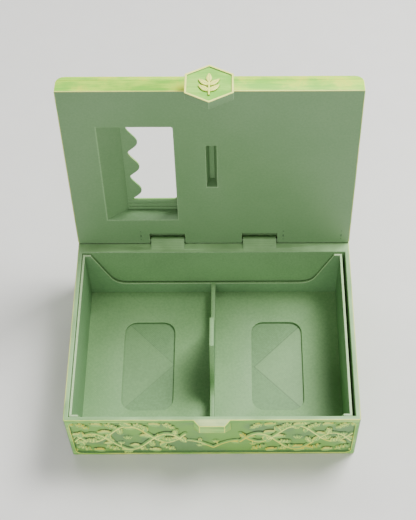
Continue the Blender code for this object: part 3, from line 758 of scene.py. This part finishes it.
def make_lid_cover(inside, outside, front, worn, corner, carving):
    """The outer plate: long edges rounded, a sunk field for the carving, and the leaf-edged window."""
    half = SIDE
    shoulder = LID_FACE - LID_ROUND
    right = []
    for step in range(13):
        z = LID_SEAM + (LID_FACE - LID_SEAM) * step / 12
        rise = (z - shoulder) / (LID_FACE - shoulder)
        right.append((half - LID_ROUND + LID_ROUND * math.sqrt(max(0.0, 1 - rise**2)), z))
    section = right + [(-x, z) for x, z in reversed(right)]
    solid = prism(section, LID_FRONT, LID_REAR)
    solid.transform(Matrix(((1, 0, 0, 0), (0, 0, 1, 0), (0, 1, 0, 0), (0, 0, 0, 1))))
    bmesh.ops.recalc_face_normals(solid, faces=solid.faces)
    plate = as_object("lid_cover_print", solid)
    field = rounded_rectangle((-68.35 * MM, -103.2 * MM), (68.35 * MM, -2.7 * MM), FIELD_CORNER)
    floor = LID_FACE - CARVING_RISE
    carve(plate, as_object("field", prism(field, floor, LID_FACE + 2 * MM)))
    carve(plate, as_object("opening", prism(window_outline(), LID_SEAM - 2 * MM, LID_FACE + 2 * MM)))
    solid = bmesh.new()
    solid.from_mesh(plate.data)
    bmesh.ops.remove_doubles(solid, verts=solid.verts[:], dist=0.03 * MM)
    window = [-44.9, -19.1]

    def finish_of(spot, normal):
        if normal.y < -0.7 and spot.y < LID_FRONT / MM + 0.5:
            return 4
        return 0 if normal.z < -0.7 else 1

    def edge_finish_of(spot):
        inner = window[0] - 1 < spot.x < window[1] + 1 and -79.0 < spot.y < -24.0
        return 3 if inner else 2

    soften(solid, 0.3 * MM, finish_of, edge_finish_of, LID_JOINT)
    mesh = bpy.data.meshes.new("lid_cover_print")
    solid.to_mesh(mesh)
    solid.free()
    bpy.data.objects.remove(plate, do_unlink=True)
    shade(mesh)
    slot = "sage_print_carved"
    finishes = [inside, outside, worn, corner, front]
    place_piece("lid_cover_print", mesh, "lid", finishes, LID_OPEN, ("lid_cover",))

    def keep(us, vs):
        return ~((us > -45.6) & (us < -18.4) & (vs > -78.2) & (vs < -24.4))

    lid_carving().panel(
        "lid_carving", lambda u, v, h: (u, v, floor + h), "lid", slot, carving, LID_OPEN, keep
    )
    for number, (low, high, rise) in enumerate(((18.3, 19.6, 0.55), (20.6, 22.0, 0.4), (23.0, 24.4, 0.25))):
        corners = [(-45.2, -high), (-19.2, -high), (-19.2, -low), (-45.2, -low)]
        strip = [(x * MM, y * MM) for x, y in corners]
        bar = prism(strip, LID_SEAM - rise * MM, LID_SEAM + 0.2 * MM)
        soften(bar, 0.12 * MM, lambda spot, normal: 0, lambda spot: 1)
        mesh = bpy.data.meshes.new(f"window_moulding_{number + 1}")
        bar.to_mesh(mesh)
        bar.free()
        shade(mesh)
        place_piece(mesh.name, mesh, "lid", [inside, corner], LID_OPEN)


def make_badge(field, side, rim, corner, leaf_paint):
    face = min((LID_SHUT @ vertex.co).y for vertex in NODES["clasp_badge"].data.vertices) / MM

    def finish_of(spot, normal):
        if normal.y > -0.9:
            return 1
        return 2 if spot.y < face + 0.3 else 0

    def edge_finish_of(spot):
        return 2 if spot.y < face + 0.5 else 3

    finishes = [field, side, rim, corner]
    name = "clasp_badge_print"
    printed_copy("clasp_badge", name, "lid", finishes, finish_of, edge_finish_of, 0.25 * MM, LID_OPEN)
    make_badge_leaf(leaf_paint)


def leaf_height(x, z, base, tip, half_width):
    """A small leaf's height at a point, from 0 off it to 1 on its crest, with side veins and a midrib."""
    along = (tip - base).normalized()
    place = Vector((x, z)) - base
    share = place.dot(along) / (tip - base).length
    across = abs(place.x * along.y - place.y * along.x)
    if not 0 < share < 1:
        return 0.0
    inside = across / (half_width * math.sin(math.pi * share**0.8) + 1e-6)
    if inside >= 1:
        return 0.0
    veins = 0.096 * math.sin(math.tau * (share * 7 - across * 0.7)) * (1 - inside)
    midrib = 0.3 * math.exp(-((across / 0.16) ** 2))
    return 0.62 + 0.3 * math.sqrt(1 - inside**2) - midrib + veins


def make_badge_leaf(paint):
    """The raised sprig: a fine grid across the solid's span, domed leaf by leaf."""
    solid = NODES["badge_leaf"]
    corners = [LID_SHUT @ vertex.co for vertex in solid.data.vertices]
    low, high = min(c.z for c in corners) / MM, max(c.z for c in corners) / MM
    back, front = max(c.y for c in corners) / MM, min(c.y for c in corners) / MM
    stem_half, stem_length, length, half_width, spread = 0.5, 9.5, 6.8, 1.4, 50
    leaves = [(stem_length - 2 * stem_half, 0)]
    leaves += [(height, side * spread) for height in (2.5, 6.5) for side in (-1, 1)]
    reach, pitch = 7.0, 0.09
    columns, rows = round(2 * reach / pitch), round((high - low) / pitch)
    heights = np.zeros((rows + 1, columns + 1))
    for row in range(rows + 1):
        z = (high - low) * row / rows
        for column in range(columns + 1):
            x = reach * (2 * column / columns - 1)
            lift = 0.0
            if z <= stem_length and abs(x) < stem_half:
                lift = 0.5 + 0.35 * math.sqrt(1 - (x / stem_half) ** 2)
            for height, angle in leaves:
                turn = math.radians(angle)
                base = Vector((0.0, height))
                tip = base + length * Vector((math.sin(turn), math.cos(turn)))
                lift = max(lift, leaf_height(x, z, base, tip, half_width))
            heights[row, column] = lift
    spots, painted, faces, index = [], [], [], {}
    for row in range(rows):
        for column in range(columns):
            ring = [(row, column), (row, column + 1), (row + 1, column + 1), (row + 1, column)]
            if min(heights[place] for place in ring) <= 0:
                continue
            for place in ring:
                if place not in index:
                    index[place] = len(spots)
                    x = reach * (2 * place[1] / columns - 1)
                    z = low + (high - low) * place[0] / rows
                    lift = min(1.0, heights[place])
                    spots.append((x * MM, (back + (front - back) * lift) * MM, z * MM))
                    painted.append(min(1.0, max(0.0, 2.4 * (lift - 0.42))))
            faces.append([index[place] for place in ring])
    total = len(spots)
    spots += [(spot[0], back * MM, spot[2]) for spot in spots]
    painted += [0.3] * total
    edges = [pair for face in faces for pair in zip(face, face[1:] + face[:1])]
    known = set(edges)
    faces += [(b, a, a + total, b + total) for a, b in edges if (b, a) not in known]
    mesh = bpy.data.meshes.new("badge_leaf_print")
    mesh.from_pydata(spots, [], faces)
    mesh.attributes.new("raised", "FLOAT", "POINT").data.foreach_set("value", painted)
    mesh.update()
    shade(mesh, 60)
    place_piece("badge_leaf_print", mesh, "lid", [paint], LID_OPEN, ("badge_leaf",))


def repaint(node, material):
    mesh = NODES[node].data
    mesh.materials.clear()
    mesh.materials.append(material)


# ---------------------------------------------------------------- studio


def make_floor():
    mesh = bpy.data.meshes.new("studio_floor")
    reach = 6.0
    corners = [(-reach, -reach), (reach, -reach), (reach, reach), (-reach, reach)]
    mesh.from_pydata([(x, y, -0.2 * MM) for x, y in corners], [], [(0, 1, 2, 3)])
    mesh.materials.append(paper_floor())
    floor = bpy.data.objects.new("studio_floor", mesh)
    bpy.context.scene.collection.objects.link(floor)


def lamp(name, place, target, size, power, colour="#ffffff"):
    data = bpy.data.lights.new(name, "AREA")
    data.shape = "RECTANGLE"
    data.size, data.size_y = size
    data.energy = power
    data.color = linear(colour)[:3]
    made = bpy.data.objects.new(name, data)
    made.location = place
    made.rotation_euler = (Vector(target) - Vector(place)).to_track_quat("-Z", "Y").to_euler()
    bpy.context.scene.collection.objects.link(made)


def make_studio():
    make_floor()
    world = bpy.data.worlds.new("soft_room")
    world.use_nodes = True
    world.node_tree.nodes["Background"].inputs["Color"].default_value = linear("#f4f6f8")
    world.node_tree.nodes["Background"].inputs["Strength"].default_value = 0.22
    bpy.context.scene.world = world
    lamp("overhead_box", (0.37, 0.27, 0.78), (0.0, -0.02, 0.04), (0.36, 0.36), 13.5)
    lamp("rear_strip", (-0.15, 0.55, 0.75), (0.0, 0.0, 0.1), (0.7, 0.2), 3.0)
    lamp("front_fill", (-0.05, -0.8, 0.46), (0.0, 0.0, 0.08), (0.8, 0.4), 5.4)


def make_camera():
    data = bpy.data.cameras.new("camera")
    data.lens = 77.94
    data.shift_x = -0.0577
    data.dof.use_dof = False
    made = bpy.data.objects.new("camera", data)
    made.location = (12.956 * MM, -296.35 * MM, 550.03 * MM)
    right = Vector((0.999993, -0.003443, -0.001727))
    down = Vector((-0.003824, -0.833954, -0.551821))
    turn = Matrix((right, -down, right.cross(down) * -1)).transposed()
    made.rotation_euler = turn.to_euler()
    bpy.context.scene.collection.objects.link(made)
    bpy.context.scene.camera = made


def main():
    seams = ((-22.0, -2.4, -1, 0.5), (22.0, -3.9, 1, 0.9))
    tray_seams = ((-10.0, 4.0, -1, 0.15), (14.0, -12.0, 1, 0.15))
    base = sage_pla("sage_pla_base", "#6a925d", "#77a069", 45.0, seams)
    tray = sage_pla("sage_pla_tray", "#76a166", "#83ad71", 45.0, tray_seams)
    # painted shade: a darker copy of the tray plastic for its upright faces
    shaded_tray_wall = sage_pla("sage_pla_tray_wall_painted_shade", "#689060", "#739b69", 0.0)
    lid = sage_pla("sage_pla_lid", "#6b9160", "#749768", 90.0)
    # painted highlight: the rounded edges get a lighter copy of the plain plastic
    corner = sage_pla("sage_pla_rounded_edge_painted_highlight", "#7fa471", "#8db27e", 0.0)
    # painted highlight: a much lighter copy of the plain plastic for the tray's wall tops
    painted_wall_top = sage_pla("sage_pla_wall_top_painted_highlight", "#a0c389", "#b2cf9c", 0.0)
    scar = sage_pla("sage_pla_scorched", "#456040", "#4f6b4a", 0.0)
    outside = dry_brushed("dry_brushed_walls", "#7ab657", "#a4dc6c", 0.5, 0.2)
    lid_side = dry_brushed("dry_brushed_lid_edge", "#82cb34", "#b6ea38", 0.6, 0.5, "#e4e040")
    worn = dry_brushed("dry_brushed_corners", "#a4d64c", "#eef870", 0.75, 0.6, "#e0d648")
    ivory_rim = dry_brushed("ivory_brushed_rim", "#ddf370", "#f8fd80", 0.9, 0.2, "#e0d850")
    badge_field = dry_brushed("brushed_badge_field", "#7ec63c", "#a0dd50", 0.5, 0.1)
    carving = carved_relief()
    make_box(base, rim_pla(), outside, worn, corner, carving)
    make_tray(tray, painted_wall_top, shaded_tray_wall)
    make_lid_body(lid, lid_side, worn, corner, ivory_rim, scar)
    make_lid_cover(lid, outside, lid_side, worn, corner, carving)
    make_badge(badge_field, lid, ivory_rim, corner, ivory_leaf_paint())
    for node in ("hinge_pin_left", "hinge_pin_right"):
        repaint(node, filament())
    for node in ("box_magnet", "badge_magnet"):
        repaint(node, nickel())
    make_studio()
    make_camera()


main()
